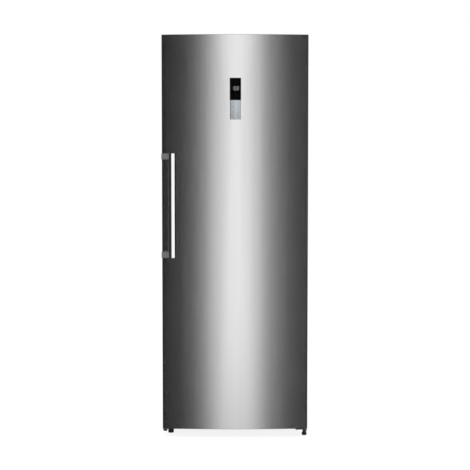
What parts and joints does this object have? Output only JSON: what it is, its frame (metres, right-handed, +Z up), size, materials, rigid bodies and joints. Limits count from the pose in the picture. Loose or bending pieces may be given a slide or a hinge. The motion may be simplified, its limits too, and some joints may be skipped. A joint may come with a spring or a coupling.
{
  "type": "single door refrigerator",
  "caption": "Tall larder refrigerator with a convex metal door, a short bar handle at the left and a display panel, shelves, drawers and door bins inside.",
  "frame": {"origin": "on the floor, below the middle of the box that holds the whole part", "axes": "+Z up, -Y out of the door's front, +X to the hinge side"},
  "size_m": [0.67, 0.705, 1.855],
  "materials": {
    "side_paint": "satin silver grey paint on sheet steel",
    "back_steel": "plain galvanised sheet",
    "foam": "closed cell insulating foam",
    "liner_white": "vacuum formed white plastic",
    "base_steel": "black coated steel",
    "rear_black": "dark fibreboard",
    "rubber_black": "soft black rubber",
    "compressor_black": "gloss black paint on a deep drawn shell",
    "copper": "copper tube",
    "tray_grey": "moulded grey plastic",
    "hinge_steel": "zinc plated steel",
    "cover_grey": "dark grey moulded plastic",
    "coil_aluminium": "plain aluminium fins and tube",
    "motor_black": "black plastic motor housing",
    "lamp_clear": "milky diffuser",
    "shelf_glass": "toughened clear glass",
    "trim_white": "white extruded plastic",
    "rack_chrome": "chromed wire",
    "fan_white": "white moulded plastic",
    "foot_black": "black moulded plastic",
    "drawer_clear": "translucent plastic",
    "door_steel": "brushed steel, vertical grain",
    "gasket_grey": "soft grey magnetic seal",
    "bush_white": "bearing plastic",
    "handle_bright": "bright polished bar",
    "bracket_grey": "grey cast bracket",
    "display_rim": "bright rim",
    "display_glass": "black glossy window",
    "board_green": "circuit board with lit figures",
    "key_silver": "silver blue keypad",
    "bin_clear": "translucent plastic"
  },
  "bodies": {
    "cabinet": {"side_panel_left": "side_paint", "side_panel_right": "side_paint", "top_panel": "side_paint", "back_panel": "back_steel", "cabinet_foam": "foam", "inner_liner": "liner_white", "base_plate": "base_steel", "compressor_deck": "base_steel", "rear_cover": "rear_black", "cord_gland": "rubber_black", "compressor": "compressor_black", "compressor_mounts": "rubber_black", "refrigerant_tubes": "copper", "drain_tray": "tray_grey", "top_hinge": "hinge_steel", "hinge_covers": "cover_grey", "bottom_hinge": "base_steel", "hinge_screws": "hinge_steel", "air_duct_cover": "liner_white", "evaporator": "coil_aluminium", "fan_motor": "motor_black", "lamp_lens": "lamp_clear", "shelf_glass_1": "shelf_glass", "shelf_glass_2": "shelf_glass", "shelf_glass_3": "shelf_glass", "shelf_glass_4": "shelf_glass", "shelf_trim_1": "trim_white", "shelf_trim_2": "trim_white", "shelf_trim_3": "trim_white", "shelf_trim_4": "trim_white", "bottle_rack": "rack_chrome"},
    "door": {"door_skin": "door_steel", "door_foam": "foam", "dyke_foam": "foam", "door_liner": "liner_white", "door_gasket": "gasket_grey", "door_top_cap": "cover_grey", "door_bottom_cap": "cover_grey", "hinge_bushes": "bush_white", "handle_bar": "handle_bright", "handle_brackets": "bracket_grey", "handle_screws": "hinge_steel", "display_frame": "display_rim", "display_lens": "display_glass", "display_board": "board_green"},
    "fan": {"fan_impeller": "fan_white"},
    "foot_right": {"foot_right": "foot_black"},
    "foot_left": {"foot_left": "foot_black"},
    "roller_right": {"roller_right": "foot_black"},
    "roller_left": {"roller_left": "foot_black"},
    "drawer_right": {"drawer_right": "drawer_clear"},
    "drawer_left": {"drawer_left": "drawer_clear"},
    "key_1": {"key_1": "key_silver"},
    "bin_1": {"bin_1": "bin_clear"},
    "key_2": {"key_2": "key_silver"},
    "bin_2": {"bin_2": "bin_clear"},
    "key_3": {"key_3": "key_silver"},
    "bin_3": {"bin_3": "bin_clear"},
    "key_4": {"key_4": "key_silver"},
    "bin_4": {"bin_4": "bin_clear"}
  },
  "joints": [
    {"name": "door_hinge", "type": "hinge", "parent": "cabinet", "child": "door", "pos_m": [0.324, -0.2755, 0.9], "axis": [0, 0, 1], "range_deg": [0, 120]},
    {"name": "drawer_right_slide", "type": "slide", "parent": "cabinet", "child": "drawer_right", "axis": [0, -1, 0], "range_m": [0, 0.242]},
    {"name": "foot_right_turn", "type": "hinge", "parent": "cabinet", "child": "foot_right", "pos_m": [0.3233, -0.2509, 0.02], "axis": [0, 0, 1], "continuous": true},
    {"name": "roller_right_spin", "type": "hinge", "parent": "cabinet", "child": "roller_right", "pos_m": [0.286, 0.2825, 0.015], "axis": [1, 0, 0], "continuous": true},
    {"name": "drawer_left_slide", "type": "slide", "parent": "cabinet", "child": "drawer_left", "axis": [0, -1, 0], "range_m": [0, 0.242]},
    {"name": "foot_left_turn", "type": "hinge", "parent": "cabinet", "child": "foot_left", "pos_m": [-0.302, -0.2005, 0.02], "axis": [0, 0, 1], "continuous": true},
    {"name": "roller_left_spin", "type": "hinge", "parent": "cabinet", "child": "roller_left", "pos_m": [-0.286, 0.2825, 0.015], "axis": [1, 0, 0], "continuous": true},
    {"name": "fan_spin", "type": "hinge", "parent": "cabinet", "child": "fan", "pos_m": [0, 0.268, 1.605], "axis": [0, 1, 0], "continuous": true},
    {"name": "bin_1_lift", "type": "slide", "parent": "door", "child": "bin_1", "axis": [0, 0, 1], "range_m": [0, 0.018]},
    {"name": "key_1_press", "type": "slide", "parent": "door", "child": "key_1", "axis": [0, 1, 0], "range_m": [0, 0.0008], "stiffness_N_per_m": 300},
    {"name": "bin_2_lift", "type": "slide", "parent": "door", "child": "bin_2", "axis": [0, 0, 1], "range_m": [0, 0.018]},
    {"name": "key_2_press", "type": "slide", "parent": "door", "child": "key_2", "axis": [0, 1, 0], "range_m": [0, 0.0008], "stiffness_N_per_m": 300},
    {"name": "bin_3_lift", "type": "slide", "parent": "door", "child": "bin_3", "axis": [0, 0, 1], "range_m": [0, 0.018]},
    {"name": "key_3_press", "type": "slide", "parent": "door", "child": "key_3", "axis": [0, 1, 0], "range_m": [0, 0.0008], "stiffness_N_per_m": 300},
    {"name": "bin_4_lift", "type": "slide", "parent": "door", "child": "bin_4", "axis": [0, 0, 1], "range_m": [0, 0.018]},
    {"name": "key_4_press", "type": "slide", "parent": "door", "child": "key_4", "axis": [0, 1, 0], "range_m": [0, 0.0008], "stiffness_N_per_m": 300}
  ],
  "couplings": [
    {"joint": "drawer_right_slide", "follows": "door_hinge", "m_per_rad": 0.115},
    {"joint": "drawer_left_slide", "follows": "door_hinge", "m_per_rad": 0.115}
  ]
}
